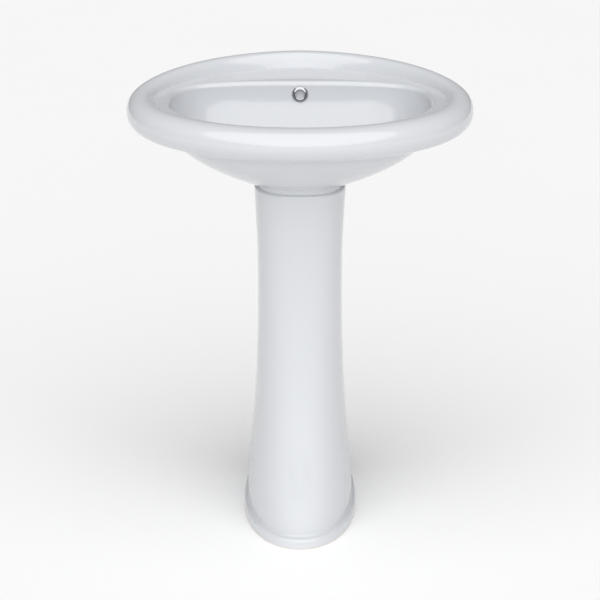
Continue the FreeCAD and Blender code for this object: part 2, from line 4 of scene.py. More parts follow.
import bmesh
import bpy
import numpy as np
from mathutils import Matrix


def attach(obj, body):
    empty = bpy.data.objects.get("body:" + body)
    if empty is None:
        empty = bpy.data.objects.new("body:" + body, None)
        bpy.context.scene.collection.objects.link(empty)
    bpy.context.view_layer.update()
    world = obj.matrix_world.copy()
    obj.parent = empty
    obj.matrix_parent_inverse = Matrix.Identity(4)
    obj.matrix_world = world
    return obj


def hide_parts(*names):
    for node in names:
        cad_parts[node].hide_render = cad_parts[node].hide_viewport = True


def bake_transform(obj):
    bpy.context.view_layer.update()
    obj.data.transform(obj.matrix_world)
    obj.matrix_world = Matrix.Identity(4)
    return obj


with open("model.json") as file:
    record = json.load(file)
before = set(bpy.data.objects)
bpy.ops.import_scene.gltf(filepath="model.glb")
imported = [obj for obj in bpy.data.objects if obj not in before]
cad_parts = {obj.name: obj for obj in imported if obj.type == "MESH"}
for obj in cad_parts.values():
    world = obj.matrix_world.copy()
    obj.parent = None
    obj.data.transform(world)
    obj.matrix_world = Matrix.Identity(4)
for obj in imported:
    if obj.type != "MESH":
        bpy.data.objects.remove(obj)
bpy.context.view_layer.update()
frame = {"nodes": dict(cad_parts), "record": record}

# Pedestal sink. Shapes are worked out in millimetres and go into the meshes in metres.
# +Z is up, -Y is the front, the wall stands at y = +240 and the floor at z = 0.
mm = 0.001

basin = {
    "halfWidth": 300.0, "front": 240.0, "back": 250.0, "wallY": 240.0,
    "frontPower": 2.06, "backPower": 1.70,
    "rollRadius": 28.0, "crest": 814.0, "backRise": 19.5, "riseStart": -110.0,
    # (inset, height over the roll's lowest point) round the lip's tip
    "lip": ((16.611, 2.42), (21.0, 1.2), (25.2, 2.6), (28.2, 6.0), (29.4, 10.5)),
    "deckHeight": 807.0, "deckThickness": 20.0, "channelInset": 44.0,
    "bowlCentreY": -20.0, "bowlHalfWidth": 225.0, "bowlFront": 158.0, "bowlBack": 125.0,
    "bowlFrontPower": 2.1, "bowlBackPower": 3.2, "bowlDepth": 133.0, "bowlRoot": 2.29,
    "edgeRadius": 8.0,
    "shellHalfWidth": 234.0, "shellFront": 170.0, "shellBack": 137.0,
    "shellTop": 784.0, "shellDepth": 149.0, "shellRoot": 2.1, "seat": 655.0,
    "drainRadius": 22.5, "recessRadius": 33.0, "recessFloor": 669.0,
    "bossRadius": 37.0, "bossBottom": 636.0,
    "columns": 336, "backCrowding": 0.5,
}


def smoothStep(value):
    value = np.clip(value, 0.0, 1.0)
    return value * value * (3.0 - 2.0 * value)


def smoothThrough(x, known, heights):
    # cubic pieces through known points, each slope the mean of its neighbours' slopes
    known = np.asarray(known, float)
    heights = np.asarray(heights, float)
    slopes = np.gradient(heights, known)
    left = np.clip(np.searchsorted(known, x, side="right") - 1, 0, len(known) - 2)
    width = known[left + 1] - known[left]
    t = (x - known[left]) / width
    return ((2 * t**3 - 3 * t**2 + 1) * heights[left] + (t**3 - 2 * t**2 + t) * width * slopes[left]
            + (3 * t**2 - 2 * t**3) * heights[left + 1] + (t**3 - t**2) * width * slopes[left + 1])


def ovalRadius(angle, halfWidth, front, back, frontPower, backPower):
    # 1 / r^p = |cos / halfWidth|^p + |sin / reach|^p, with its own reach and p at front and back
    ahead = np.sin(angle) < 0.0
    reach = np.where(ahead, front, back)
    power = np.where(ahead, frontPower, backPower)
    total = np.abs(np.cos(angle) / halfWidth) ** power + np.abs(np.sin(angle) / reach) ** power
    return total ** (-1.0 / power)


def meshFromGrid(name, grid, wrapColumns=True, wrapRows=False, caps=(), sharp=35.0):
    # one quad between each four neighbours of a (rows, columns, 3) grid in millimetres
    rows, columns = grid.shape[:2]
    index = np.arange(rows * columns).reshape(rows, columns)
    if wrapRows:
        index = np.vstack([index, index[:1]])
    if wrapColumns:
        index = np.hstack([index, index[:, :1]])
    corners = [index[:-1, :-1], index[:-1, 1:], index[1:, 1:], index[1:, :-1]]
    faces = np.stack(corners, axis=-1).reshape(-1, 4).tolist()
    for end in caps:
        faces.append(index[end, :columns].tolist())
    mesh = bpy.data.meshes.new(name)
    mesh.from_pydata((grid.reshape(-1, 3) * mm).tolist(), [], faces)
    work = bmesh.new()
    work.from_mesh(mesh)
    bmesh.ops.remove_doubles(work, verts=work.verts, dist=2e-6)
    bmesh.ops.dissolve_degenerate(work, edges=work.edges, dist=1e-6)
    bmesh.ops.recalc_face_normals(work, faces=work.faces)
    for face in work.faces:
        face.smooth = True
    work.to_mesh(mesh)
    work.free()
    mesh.set_sharp_from_angle(angle=math.radians(sharp))
    piece = bpy.data.objects.new(name, mesh)
    bpy.context.scene.collection.objects.link(piece)
    return piece


def levelRing(x, y, z):
    return np.stack([x, y, np.broadcast_to(z, np.shape(x))], axis=-1)


# the basin is one closed skin, from the drain up the bowl, over the rim and back under

def bowlRing(angle, scale, grow=0.0):
    # the bowl's outline shrunk to a scale
    b = basin
    r = ovalRadius(angle, scale * b["bowlHalfWidth"] + grow, scale * b["bowlFront"] + grow,
                   scale * b["bowlBack"] + grow, b["bowlFrontPower"], b["bowlBackPower"])
    return r * np.cos(angle), b["bowlCentreY"] + r * np.sin(angle)


def rimRing(angle, inset, height, share):
    # the outer outline moved in, lifted towards the wall by a share of the back's rise
    b = basin
    r = ovalRadius(angle, b["halfWidth"] - inset, b["front"] - inset, b["back"] - inset,
                   b["frontPower"], b["backPower"])
    x = r * np.cos(angle)
    y = r * np.sin(angle)
    run = b["back"] - b["rollRadius"] - b["riseStart"]
    rise = b["backRise"] * smoothStep((y - b["riseStart"]) / run)
    return levelRing(x, np.minimum(y, b["wallY"]), height + share * rise)


def shellRing(angle, scale, height, least=0.0):
    b = basin
    r = ovalRadius(angle, scale * b["shellHalfWidth"], scale * b["shellFront"],
                   scale * b["shellBack"], b["bowlFrontPower"], b["bowlBackPower"])
    r = np.maximum(r, least)
    return levelRing(r * np.cos(angle), b["bowlCentreY"] + r * np.sin(angle), height)


def roundRing(angle, radius, height):
    return levelRing(radius * np.cos(angle), basin["bowlCentreY"] + radius * np.sin(angle), height)


def bowlHeight(x, y):
    # deck - depth * (1 - s^2)^(1 / root), s being the scale of the outline through (x, y)
    b = basin
    ahead = y < b["bowlCentreY"]
    reach = np.where(ahead, b["bowlFront"], b["bowlBack"])
    power = np.where(ahead, b["bowlFrontPower"], b["bowlBackPower"])
    total = (np.abs(x) / b["bowlHalfWidth"]) ** power
    total = total + (np.abs(y - b["bowlCentreY"]) / reach) ** power
    scale = total ** (1.0 / power)
    depth = b["bowlDepth"] * np.clip(1.0 - scale**2, 0.0, 1.0) ** (1.0 / b["bowlRoot"])
    return b["deckHeight"] - depth


def basinAngles():
    # columns crowd together at the back, where the overflow is
    b = basin
    u = np.arange(b["columns"]) / b["columns"]
    return np.pi / 2 + 2 * np.pi * u - b["backCrowding"] * np.sin(2 * np.pi * u)


def basinRings():
    b = basin
    a = basinAngles()
    rings = []
    drain, recess, boss = b["drainRadius"], b["recessRadius"], b["bossRadius"]
    floor, bottom = b["recessFloor"], b["bossBottom"]
    for radius, height in ((drain, bottom + 1.2), (drain, bottom + 12.0), (drain, bottom + 24.0),
                           (drain, floor - 0.8), (drain + 0.4, floor - 0.2), (drain + 1.1, floor),
                           (recess - 5.0, floor), (recess - 0.7, floor),
                           (recess - 0.2, floor + 0.2), (recess, floor + 0.8),
                           (recess, floor + 2.5)):
        rings.append(roundRing(a, radius, height))
    # the bowl: plan radius r = R sin(p), so the wall's rows stay even as it steepens
    r = ovalRadius(a, b["bowlHalfWidth"], b["bowlFront"], b["bowlBack"],
                   b["bowlFrontPower"], b["bowlBackPower"])
    startTurn = np.arcsin((recess + 0.9) / r)
    lastDepth = b["edgeRadius"] - b["edgeRadius"] * math.sin(math.radians(8))
    endTurn = math.acos((lastDepth / b["bowlDepth"]) ** (b["bowlRoot"] / 2))
    low = roundRing(a, recess + 0.2, 0.0)
    low[..., 2] = bowlHeight(low[..., 0], low[..., 1]) - 0.9
    rings.append(low)
    shares = np.concatenate([np.linspace(0, 0.82, 40)[:-1], np.linspace(0.82, 1, 30)])
    for share in shares:
        turn = startTurn + (endTurn - startTurn) * share
        plan = r * np.sin(turn)
        x = plan * np.cos(a)
        y = b["bowlCentreY"] + plan * np.sin(a)
        depth = b["bowlDepth"] * np.cos(turn) ** (2 / b["bowlRoot"])
        rings.append(levelRing(x, y, b["deckHeight"] - depth))
    bowlRows = len(rings)
    for turn in np.radians(np.linspace(14, 90, 9)):
        x, y = bowlRing(a, 1.0, b["edgeRadius"] * (1 - math.cos(turn)))
        rings.append(levelRing(x, y, b["deckHeight"] - b["edgeRadius"] * (1 - math.sin(turn))))
    # flat deck, with a small hollow curve where it meets the roll
    centre = b["crest"] - b["rollRadius"]
    footTurn = 180 - math.degrees(math.asin((b["deckHeight"] - centre) / b["rollRadius"]))
    footInset = b["rollRadius"] * (1 - math.cos(math.radians(footTurn)))
    near = rings[-1]
    far = rimRing(a, footInset, b["deckHeight"], 0.0)
    for share in (0.12, 0.3, 0.5, 0.7, 0.86, 0.95):
        rings.append(near + (far - near) * share)
    # the roll: a circle's section whose height also follows the rise
    turns = np.linspace(footTurn, -66, 54)
    rise = smoothThrough(turns[::-1], (-66, -44, -22, 0, 22, 44, 66, 88, 108, 124, footTurn),
                         (0, 0, 0.15, 0.4, 0.65, 0.9, 1.0, 1.0, 0.9, 0.45, 0.0))[::-1]
    for turn, share in zip(np.radians(turns), rise):
        inset = b["rollRadius"] * (1 - math.cos(turn))
        height = centre + b["rollRadius"] * math.sin(turn)
        rings.append(rimRing(a, inset, height, float(share)))
    # round the lip's tip, up the channel behind it and along the deck's flat underside
    low = b["crest"] - 2 * b["rollRadius"]
    tip = np.array([(inset, low + height) for inset, height in b["lip"]])
    place = np.linspace(0, 4, 13)[1:]
    insets = smoothThrough(place, range(5), tip[:, 0])
    heights = smoothThrough(place, range(5), tip[:, 1])
    for inset, height in zip(insets, heights):
        rings.append(rimRing(a, float(inset), float(height), 0.0))
    under = b["deckHeight"] - b["deckThickness"]
    start = rings[-1]
    channel = rimRing(a, b["channelInset"], under, 0.0)
    for share in (0.33, 0.66, 0.92):
        rings.append(start + (channel - start) * share)
    inner = shellRing(a, 1.03, under)
    for share in (0.06, 0.35, 0.7, 0.94, 1.0):
        rings.append(channel + (inner - channel) * share)
    # outside of the bowl down to the seat: height = top - depth * (1 - s)^(1 / root)
    rings.append(shellRing(a, 1.016, b["shellTop"] + 1.2))
    rings.append(shellRing(a, 1.007, b["shellTop"] - 1.2))
    seatScale = 1 - ((b["shellTop"] - b["seat"]) / b["shellDepth"]) ** b["shellRoot"]
    for turn in np.linspace(0.04, 1.0, 46):
        scale = seatScale + (1 - seatScale) * math.cos(turn * math.pi / 2) ** 1.15
        height = b["shellTop"] - b["shellDepth"] * (1 - scale) ** (1 / b["shellRoot"])
        rings.append(shellRing(a, scale, height, boss + 3))
    for radius, height in ((boss, b["seat"]), (boss, bottom + 1.0), (boss - 0.3, bottom + 0.3),
                           (boss - 1.0, bottom), (drain + 1.0, bottom), (drain + 0.3, bottom + 0.3)):
        rings.append(roundRing(a, radius, height))
    return np.array(rings), bowlRows


overflow = {"height": 784.0, "throat": 11.9, "reach": 15.6, "depth": 15.0, "capShare": 0.38,
            "wallShare": 0.62, "lean": 0.1135, "behind": 60.0}


def pushOverflow(grid, rows):
    # a round throat pressed into the bowl's back wall: rings of points move out to its edge,
    # then back along its wall, and the innermost ones make its flat end
    o, b = overflow, basin
    part = grid[:rows]
    x, y, z = part[..., 0], part[..., 1], part[..., 2]
    gone = np.hypot(x, z - o["height"]) / o["reach"]
    hit = (gone < 1.0) & (y > o["behind"])
    d = gone[hit]
    flat = np.clip(d / o["capShare"], 0.0, 1.0) * o["throat"]
    outer = o["throat"] + (d - o["wallShare"]) / (1 - o["wallShare"]) * (o["reach"] - o["throat"])
    radius = np.where(d < o["wallShare"], flat, outer)
    back = 1.0 - np.clip((d - o["capShare"]) / (o["wallShare"] - o["capShare"]), 0.0, 1.0)
    spread = radius / np.maximum(d * o["reach"], 1e-6)
    newX = x[hit] * spread
    newZ = o["height"] + (z[hit] - o["height"]) * spread
    scale = np.sqrt(1.0 - ((b["deckHeight"] - newZ) / b["bowlDepth"]) ** b["bowlRoot"])
    power = b["bowlBackPower"]
    left = 1.0 - (np.abs(newX) / (scale * b["bowlHalfWidth"])) ** power
    wall = b["bowlCentreY"] + scale * b["bowlBack"] * left ** (1.0 / power)
    depth = back * o["depth"]
    part[hit] = np.stack([newX, wall + depth * math.cos(o["lean"]),
                          newZ - depth * math.sin(o["lean"])], axis=-1)


print("stage: basin")
basinGrid, bowlRows = basinRings()
pushOverflow(basinGrid, bowlRows)
basinSkin = meshFromGrid("basin-china", basinGrid, wrapRows=True)

# what stands behind the bowl and on the column

fittings = {
    "apronHalfWidth": 104.0, "apronLow": 700.0, "apronHigh": 791.0, "apronThickness": 18.0,
    "apronCorner": 18.0, "holeX": 80.0, "holeZ": 750.0, "holeRadius": 7.0,
    "ductWidth": 46.0, "ductNear": 4.0, "ductFar": 32.0,
    "skirtInset": 5.0, "skirtWall": 7.5, "skirtRise": 75.0, "skirtSunk": 6.0, "skirtGap": 0.05,
    "ribInner": 92.0, "apronSetIn": 0.2,
    # (y, z) corners of a rib: its front edge follows the bowl's wall from behind
    "rib": ((109, 797), (107, 780), (102.5, 760), (95.5, 740), (110, 712), (230, 700.5), (230, 797)),
}


def roundedBar(name, outline, low, high, bevel=1.6):
    # a flat outline of (y, z) points carried along x, with its edges rounded off
    outline = np.asarray(outline, float)
    following = np.roll(outline, -1, axis=0)
    before = np.roll(outline, 1, axis=0)
    tangent = following - before
    tangent /= np.linalg.norm(tangent, axis=1)[:, None]
    area = np.sum(outline[:, 0] * following[:, 1] - following[:, 0] * outline[:, 1])
    inward = np.stack([-tangent[:, 1], tangent[:, 0]], axis=1) * np.sign(area)
    rows = []
    steps = np.radians(np.linspace(0, 90, 5))
    profile = [(low + bevel * (1 - math.sin(t)), bevel * (1 - math.cos(t))) for t in steps[::-1]]
    profile += [(high - bevel * (1 - math.sin(t)), bevel * (1 - math.cos(t))) for t in steps]
    for x, inset in profile:
        flat = outline + inward * inset
        rows.append(np.column_stack([np.full(len(flat), x), flat]))
    return meshFromGrid(name, np.array(rows), caps=(0, -1))


def denser(points, step):
    # a closed outline with points added along its straight sides
    points = np.asarray(points, float)
    out = []
    for start, end in zip(points, np.roll(points, -1, axis=0)):
        count = max(1, int(np.linalg.norm(end - start) / step))
        out.append(start + (end - start) * (np.arange(count) / count)[:, None])
    return np.concatenate(out)


def ductOutline():
    # the bowl's back wall moved out along its normal to two distances
    b, f = basin, fittings
    share = np.sin(np.linspace(0, np.pi / 2, 28))
    scale = 0.25 + (0.9985 - 0.25) * share
    slope = b["bowlDepth"] * 2 / b["bowlRoot"] * scale
    slope = slope * (1 - scale**2) ** (1 / b["bowlRoot"] - 1)
    length = np.hypot(slope, b["bowlBack"])
    lines = []
    for gap in (f["ductNear"], f["ductFar"]):
        y = b["bowlCentreY"] + scale * b["bowlBack"] + gap * slope / length
        depth = b["bowlDepth"] * (1 - scale**2) ** (1 / b["bowlRoot"])
        z = b["deckHeight"] - depth - gap * b["bowlBack"] / length
        lines.append(np.stack([y, np.minimum(z, 797.0)], axis=1))
    return np.concatenate([lines[0], lines[1][::-1]])


def apronHalf(name, side):
    # half a plate round its fixing hole: rings run from the hole out to the plate's edge
    f = fittings
    middle = np.array([f["holeX"], f["holeZ"]])
    low = np.array([0.0, f["apronLow"]]) - middle
    high = np.array([f["apronHalfWidth"], f["apronHigh"]]) - middle
    corners = [math.atan2(z, x) % (2 * math.pi) for x in (low[0], high[0]) for z in (low[1], high[1])]
    angle = np.sort(np.concatenate([(np.arange(96) + 0.5) * np.pi / 48, corners]))
    direction = np.stack([np.cos(angle), np.sin(angle)], axis=1)
    reach = np.where(direction > 0, high / direction, low / direction)
    edge = direction * np.min(reach, axis=1)[:, None]
    joined = edge[:, 0] < low[0] + 0.01      # these meet the other half, so they stay square
    corner = np.array([high[0], low[1]]) + np.array([-1, 1]) * f["apronCorner"]
    past = edge - corner
    outside = (past[:, 0] > 0) & (past[:, 1] < 0)
    length = np.linalg.norm(past, axis=1)
    edge[outside] = corner + past[outside] / length[outside, None] * f["apronCorner"]
    hole = direction * f["holeRadius"]
    back = basin["wallY"] - f["apronSetIn"]      # just inside the rim's own flat back
    near = basin["wallY"] - f["apronThickness"]
    bevel = 1.5
    rows = []
    for share, depth in ((0.0, near + bevel), (0.012, near + 0.4), (0.03, near), (0.5, near),
                         (0.97, near), (0.99, near + 0.4), (1.0, near + bevel),
                         (1.0, back - bevel), (0.99, back - 0.4), (0.97, back), (0.5, back),
                         (0.03, back), (0.012, back - 0.4), (0.0, back - bevel)):
        plan = middle + hole + (edge - hole) * share
        face = near if depth < (near + back) / 2 else back
        y = np.where(joined & (share > 0.9), face, depth)
        rows.append(np.column_stack([side * plan[:, 0], y, plan[:, 1]]))
    return meshFromGrid(name, np.array(rows), wrapRows=True)


column = {
    # height, half width, front, centre line, corner power
    "sections": ((0.0, 98.5, 137.0, 50.0, 2.1), (30.0, 98.5, 136.0, 50.0, 2.1),
                 (65.0, 97.8, 131.0, 49.0, 2.1), (110.0, 95.2, 120.0, 46.0, 2.1),
                 (160.0, 89.9, 107.0, 41.0, 2.15), (220.0, 84.2, 95.0, 34.0, 2.2),
                 (300.0, 79.8, 85.0, 25.0, 2.25), (380.0, 76.9, 79.0, 17.0, 2.3),
                 (460.0, 75.8, 77.0, 11.0, 2.4), (540.0, 76.2, 78.0, 7.0, 2.5),
                 (605.0, 78.8, 82.0, 5.0, 2.6), (655.0, 81.0, 86.0, 5.0, 2.6)),
    "wall": 11.0, "backReach": 260.0, "backTop": 76.0, "backFoot": 140.0, "top": 655.0,
    "topRadius": 4.5, "plinthHalfWidth": 105.6, "plinthFront": 150.3, "plinthCentreY": 40.0,
    "plinthHeight": 19.0, "plinthPower": 2.12, "plinthEdge": 5.0, "footRadius": 1.2,
    "across": 150,
}


def openOutline(halfWidth, front, centreY, power, stopY, count):
    # a D-shaped outline cut off at stopY, as evenly spaced points from one cut to the other
    angle = np.linspace(-np.pi / 2, np.pi / 2, 1500)
    reach = np.where(np.sin(angle) < 0, front + centreY, column["backReach"])
    total = np.abs(np.cos(angle) / halfWidth) ** power + np.abs(np.sin(angle) / reach) ** power
    r = total ** (-1 / power)
    x = r * np.cos(angle)
    y = centreY + r * np.sin(angle)
    last = int(np.argmax(y > stopY))
    share = (stopY - y[last - 1]) / (y[last] - y[last - 1])
    x = np.append(x[:last], x[last - 1] + share * (x[last] - x[last - 1]))
    y = np.append(y[:last], stopY)
    length = np.concatenate([[0], np.cumsum(np.hypot(np.diff(x), np.diff(y)))])
    even = np.linspace(0, length[-1], count // 2 + 1)
    x = np.interp(even, length, x)
    y = np.interp(even, length, y)
    return np.concatenate([np.stack([-x[::-1], y[::-1]], 1), np.stack([x[1:], y[1:]], 1)])


def backLine(z):
    c = column
    return c["backFoot"] + (c["backTop"] - c["backFoot"]) * z / c["top"]


def columnSection(z, inset):
    table = np.array(column["sections"])
    at = np.clip(z, 0.0, column["top"])
    halfWidth, front, centreY, power = (
        float(smoothThrough(np.array([at]), table[:, 0], table[:, k])[0]) for k in range(1, 5))
    return openOutline(halfWidth - inset, front - inset, centreY, power, backLine(at),
                       column["across"])


def closedWall(name, outer, inner, outerZ, innerZ):
    # a wall between two open outlines: its section is a loop, carried round from end to end,
    # and both ends close on the wall's middle line
    loop = np.concatenate([outer, inner[::-1]])
    height = np.concatenate([outerZ, innerZ[::-1]])
    z = np.broadcast_to(height[:, None], loop.shape[:2])
    grid = np.concatenate([loop, z[..., None]], axis=2)
    grid = np.swapaxes(grid, 0, 1)
    return meshFromGrid(name, grid, wrapColumns=True, caps=(0, -1), sharp=40.0)


def makeColumn():
    c = column
    outer, outerZ = [], []
    plinth = (c["plinthHalfWidth"], c["plinthFront"], c["plinthCentreY"], c["plinthPower"])

    def plinthRing(inset, z):
        return openOutline(plinth[0] - inset, plinth[1] - inset, plinth[2], plinth[3],
                           backLine(z), c["across"])

    foot = c["footRadius"]
    for turn in np.radians((90, 60, 30, 0)):
        z = foot * (1 - math.sin(turn)) if turn else foot
        outer.append(plinthRing(foot * (1 - math.cos(turn)), z))
        outerZ.append(z)
    edge = c["plinthEdge"]
    for z in (7.0, 11.0):
        outer.append(plinthRing(0.0, z))
        outerZ.append(z)
    for turn in np.radians(np.linspace(0, 90, 8)):
        z = c["plinthHeight"] - edge * (1 - math.sin(turn))
        outer.append(plinthRing(edge * (1 - math.cos(turn)), z))
        outerZ.append(z)
    ledge = outer[-1]
    fillet = 4.0
    start = columnSection(c["plinthHeight"], -fillet)
    outer.append(ledge + (start - ledge) * 0.5)
    outerZ.append(c["plinthHeight"])
    for turn in np.radians(np.linspace(0, 80, 6)):
        z = c["plinthHeight"] + fillet * (1 - math.cos(turn))
        outer.append(columnSection(z, -fillet * (1 - math.sin(turn))))
        outerZ.append(z)
    for z in np.linspace(26, c["top"] - c["topRadius"] - 2, 100):
        outer.append(columnSection(z, 0.0))
        outerZ.append(z)
    radius = c["topRadius"]
    for turn in np.radians(np.linspace(0, 90, 8)):
        z = c["top"] - radius * (1 - math.sin(turn))
        outer.append(columnSection(z, radius * (1 - math.cos(turn))))
        outerZ.append(z)
    inner, innerZ = [], []
    for z, inset in ((0.0, c["wall"] + 1.0), (0.6, c["wall"] + 0.3), (1.5, c["wall"])):
        inner.append(columnSection(z, inset))
        innerZ.append(z)
    for z in np.linspace(12, c["top"] - 3, 70):
        inner.append(columnSection(z, c["wall"]))
        innerZ.append(z)
    for z, inset in ((c["top"] - 1.2, c["wall"] - 0.1), (c["top"] - 0.4, c["wall"] - 0.6),
                     (c["top"], c["wall"] - 1.6)):
        inner.append(columnSection(z, inset))
        innerZ.append(z)
    return closedWall("pedestal-china", np.array(outer), np.array(inner),
                      np.array(outerZ), np.array(innerZ))


def makeSkirt():
    # the wall under the bowl that stands on the column: its top stays inside the bowl's wall
    c, f = column, fittings
    top = c["sections"][-1]
    walls = []
    for inset in (f["skirtInset"], f["skirtInset"] + f["skirtWall"]):
        walls.append(openOutline(top[1] - inset, top[2] - inset, top[3], top[4],
                                 c["backTop"] - 2, c["across"]))
    share = np.linspace(0, 1, 12)
    rows = []
    for wall in walls:
        high = np.minimum(c["top"] + f["skirtRise"],
                          bowlHeight(wall[:, 0], wall[:, 1]) - f["skirtSunk"])
        z = c["top"] + f["skirtGap"] + (high - c["top"]) * share[:, None]
        flat = np.broadcast_to(wall, (len(share), *wall.shape))
        rows.append(np.concatenate([flat, z[..., None]], axis=2))
    grid = np.concatenate([rows[0], rows[1][::-1]])
    return meshFromGrid("basin-skirt", np.swapaxes(grid, 0, 1), caps=(0, -1), sharp=40.0)


screwFoot = {"holeX": 65.0, "holeY": 85.0, "holeRadius": 5.0, "halfWidth": 21.0,
             "halfDepth": 31.0, "height": 16.0, "squareness": 8}


def makeFlange(name, side):
    # a foot inside the column with a screw hole: rings from the hole to a soft square
    s = screwFoot
    angle = np.linspace(0, 2 * np.pi, 65)[:-1]
    power = s["squareness"]
    square = (np.abs(np.cos(angle)) ** power + np.abs(np.sin(angle)) ** power) ** (-1 / power)
    hole, high = s["holeRadius"], s["height"]
    rows = []
    for share, z in ((0.0, 1.0), (0.05, 0.0), (0.95, 0.0), (1.0, 1.0), (1.0, high - 2.5),
                     (0.97, high - 0.8), (0.9, high), (0.1, high), (0.02, high - 0.6),
                     (0.0, high - 1.8)):
        x = np.cos(angle) * (hole + (square * s["halfWidth"] - hole) * share)
        y = np.sin(angle) * (hole + (square * s["halfDepth"] - hole) * share)
        rows.append(levelRing(side * (s["holeX"] + x), s["holeY"] + y, z))
    return meshFromGrid(name, np.array(rows), wrapRows=True)


print("stage: parts behind the bowl")
f = fittings
ribOutline = denser(f["rib"], 6.0)
basinParts = [basinSkin, makeSkirt(), apronHalf("apron-right", 1), apronHalf("apron-left", -1),
              roundedBar("overflow-duct", ductOutline(), -f["ductWidth"] / 2, f["ductWidth"] / 2),
              roundedBar("rib-right", ribOutline, f["ribInner"], f["apronHalfWidth"]),
              roundedBar("rib-left", ribOutline, -f["apronHalfWidth"], -f["ribInner"])]
print("stage: column")
columnParts = [makeColumn(), makeFlange("foot-right", 1), makeFlange("foot-left", -1)]


coil = {"low": 632.7, "high": 651.3, "radius": 4.8, "wire": 0.6, "turns": 6, "drainY": -20.0}


def makeSpring():
    # a round wire along a helix: centre (R cos t, R sin t, rising with t), section square to it
    c = coil
    t = np.linspace(0, 2 * np.pi * c["turns"], 40 * c["turns"] + 1)
    rise = (c["high"] - c["low"]) / t[-1]
    outward = levelRing(np.cos(t), np.sin(t), 0.0)
    centre = c["radius"] * outward + levelRing(0 * t, 0 * t + c["drainY"], c["low"] + rise * t)
    along = levelRing(-c["radius"] * np.sin(t), c["radius"] * np.cos(t), rise)
    along /= np.linalg.norm(along, axis=1)[:, None]
    upward = np.cross(along, outward)
    turn = (2 * np.pi * np.arange(14) / 14)[None, :, None]
    section = outward[:, None] * np.cos(turn) + upward[:, None] * np.sin(turn)
    return meshFromGrid("plug-spring-wire", centre[:, None] + c["wire"] * section, caps=(0, -1))


print("stage: spring")
springPiece = makeSpring()


class Term:
    # a socket that can be used in sums: an expression on terms adds its Math nodes
    def __init__(self, finish, socket):
        self.finish = finish
        self.socket = socket

    def maths(self, operation, first, second):
        return self.finish.add("ShaderNodeMath", {"operation": operation},
                               {0: first, 1: second})

    def __add__(self, other):
        return self.maths("ADD", self, other)

    def __radd__(self, other):
        return self.maths("ADD", other, self)

    def __sub__(self, other):
        return self.maths("SUBTRACT", self, other)

    def __rsub__(self, other):
        return self.maths("SUBTRACT", other, self)

    def __mul__(self, other):
        return self.maths("MULTIPLY", self, other)

    def __rmul__(self, other):
        return self.maths("MULTIPLY", other, self)


class Finish:
    # a material with one shader, and one way to add any other node
    def __init__(self, name):
        self.material = bpy.data.materials.new(name)
        self.material.use_nodes = True
        self.tree = self.material.node_tree
        self.tree.nodes.clear()
        self.shader = self.tree.nodes.new("ShaderNodeBsdfPrincipled")
        out = self.tree.nodes.new("ShaderNodeOutputMaterial")
        self.tree.links.new(self.shader.outputs["BSDF"], out.inputs["Surface"])
        self.place = self.add("ShaderNodeTexCoord", {}, {}, "Object")

    def put(self, socket, value):
        if isinstance(value, Term):
            self.tree.links.new(value.socket, socket)
        else:
            socket.default_value = value

    def add(self, kind, settings, sockets, output=0):
        node = self.tree.nodes.new(kind)
        for key, value in settings.items():
            if key == "stops":
                for stop, (position, grey) in zip(node.color_ramp.elements, value):
                    stop.position = position
                    stop.color = (grey, grey, grey, 1)
            else:
                setattr(node, key, value)
        for key, value in sockets.items():
            self.put(node.inputs[key], value)
        return Term(self, node.outputs[output])

    def noise(self, scale, detail=3.0):
        return self.add("ShaderNodeTexNoise", {},
                        {"Vector": self.place, "Scale": scale, "Detail": detail}, "Fac")

    def height(self):
        return self.add("ShaderNodeSeparateXYZ", {}, {0: self.place}, "Z")

    def below(self, value, edge, width):
        # 1 where the value is under the edge, 0 where it is over it by the width
        return self.add("ShaderNodeMapRange", {},
                        {"Value": value, "From Min": edge, "From Max": edge + width,
                         "To Min": 1.0, "To Max": 0.0})

    def colours(self, share, first, second):
        # sockets 6 and 7 of a Mix node are its colours, and output 2 is theirs
        ends = {slot: value if isinstance(value, Term) else (*value, 1)
                for slot, value in ((6, first), (7, second))}
        return self.add("ShaderNodeMix", {"data_type": "RGBA"}, {0: share, **ends}, 2)

    def bump(self, value, strength, distance):
        return self.add("ShaderNodeBump", {},
                        {"Height": value, "Strength": strength, "Distance": distance})

    def use(self, **values):
        for key, value in values.items():
            self.put(self.shader.inputs[key.replace("_", " ")], value)
        return self.material


def glazedChina():
    # glassy white glaze that drifts slightly in tone and pools a little, bare where it stands
    m = Finish("glazedChina")
    drift = m.noise(4.0, 2.0)
    body = m.colours(drift, (0.618, 0.634, 0.662), (0.638, 0.652, 0.676))
    bare = m.below(m.height() + 0.0016 * m.noise(60.0), 0.0022, 0.0012)
    colour = m.colours(bare, body, (0.66, 0.62, 0.56))
    ripple = m.noise(11.0, 2.0) + 0.05 * m.noise(70.0, 2.0)
    grain = m.noise(900.0, 4.0)
    return m.use(Base_Color=colour, Roughness=0.11 + 0.04 * m.noise(12.0) + 0.6 * bare,
                 Coat_Weight=0.3 - 0.3 * bare, Coat_Roughness=0.06, IOR=1.52,
                 Normal=m.bump(ripple + bare * grain, 0.10, 0.0006))


def chromePlate():
    m = Finish("chromePlate")
    haze = m.noise(70.0, 4.0)
    colour = m.colours(m.noise(18.0), (0.34, 0.35, 0.37), (0.44, 0.45, 0.47))
    return m.use(Base_Color=colour, Metallic=1.0, Roughness=0.05 + 0.08 * haze,
                 Normal=m.bump(haze, 0.03, 0.0002))


